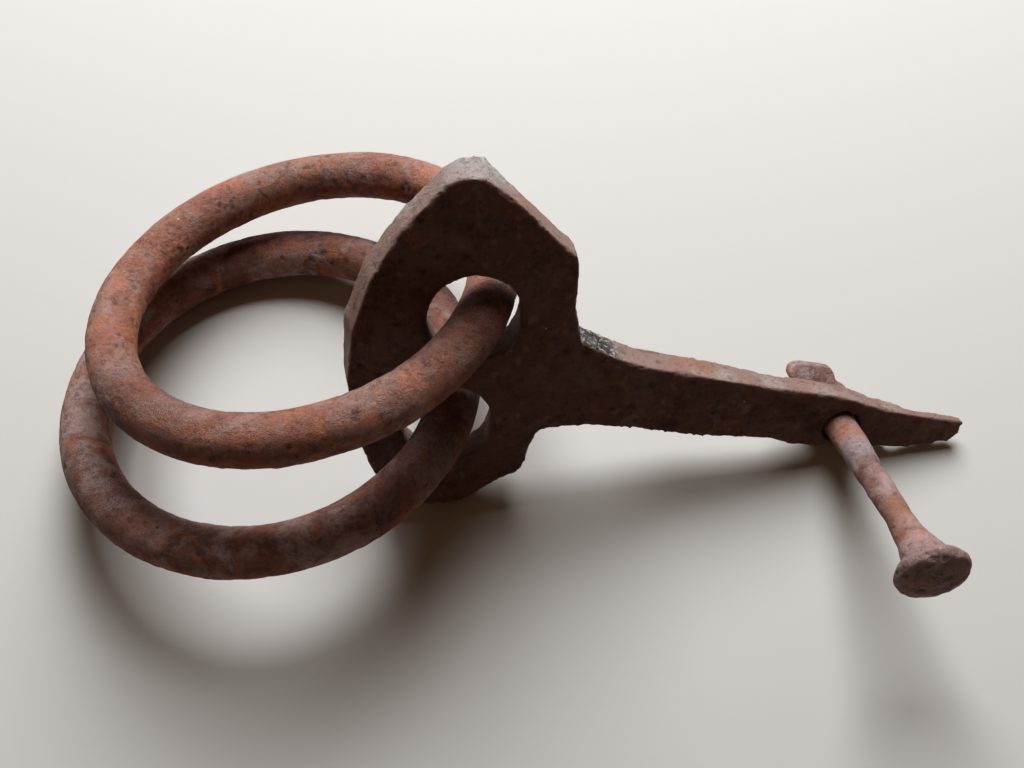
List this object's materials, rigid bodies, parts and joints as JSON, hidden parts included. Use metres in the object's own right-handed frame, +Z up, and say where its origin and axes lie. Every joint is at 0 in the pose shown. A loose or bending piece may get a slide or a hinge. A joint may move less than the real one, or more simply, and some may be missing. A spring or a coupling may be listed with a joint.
{
  "type": "forged hitching plate with rings",
  "caption": "Forged iron hitching plate: axe-shaped head with rings threaded through round holes, and a tapering shank with a clenched nail for fixing it to a timber.",
  "frame": {"origin": "bottom centre of the object's bounding box, on the surface it lies on", "axes": "+X along the shank towards its tip (longest extent), +Y to the back of the plate, +Z up"},
  "size_m": [0.2548, 0.1376, 0.0908],
  "materials": {
    "plate_iron": "matt rust, rough hammered and pitted",
    "upper_ring_iron": "matt orange-brown rust, pitted",
    "lower_ring_iron": "matt dark red-brown rust, pitted",
    "nail_iron": "matt purplish brown rust"
  },
  "bodies": {
    "plate": {"head_plate": "plate_iron"},
    "upper_ring": {"upper_ring": "upper_ring_iron"},
    "lower_ring": {"lower_ring": "lower_ring_iron"},
    "nail": {"nail": "nail_iron"}
  },
  "joints": [
    {"name": "upper_ring_swing", "type": "hinge", "parent": "plate", "child": "upper_ring", "pos_m": [-0.01124, -0.00039, 0.0546], "axis": [0.1287, -0.8718, 0.4726], "range_deg": [-190, 0]},
    {"name": "lower_ring_swing", "type": "hinge", "parent": "plate", "child": "lower_ring", "pos_m": [-0.01924, -0.0168, 0.0265], "axis": [0.1287, -0.8718, 0.4726], "range_deg": [0, 145]},
    {"name": "nail_turn", "type": "hinge", "parent": "plate", "child": "nail", "pos_m": [0.09098, -0.0141, 0.01151], "axis": [0.1494, -0.863, 0.4826], "continuous": true}
  ]
}
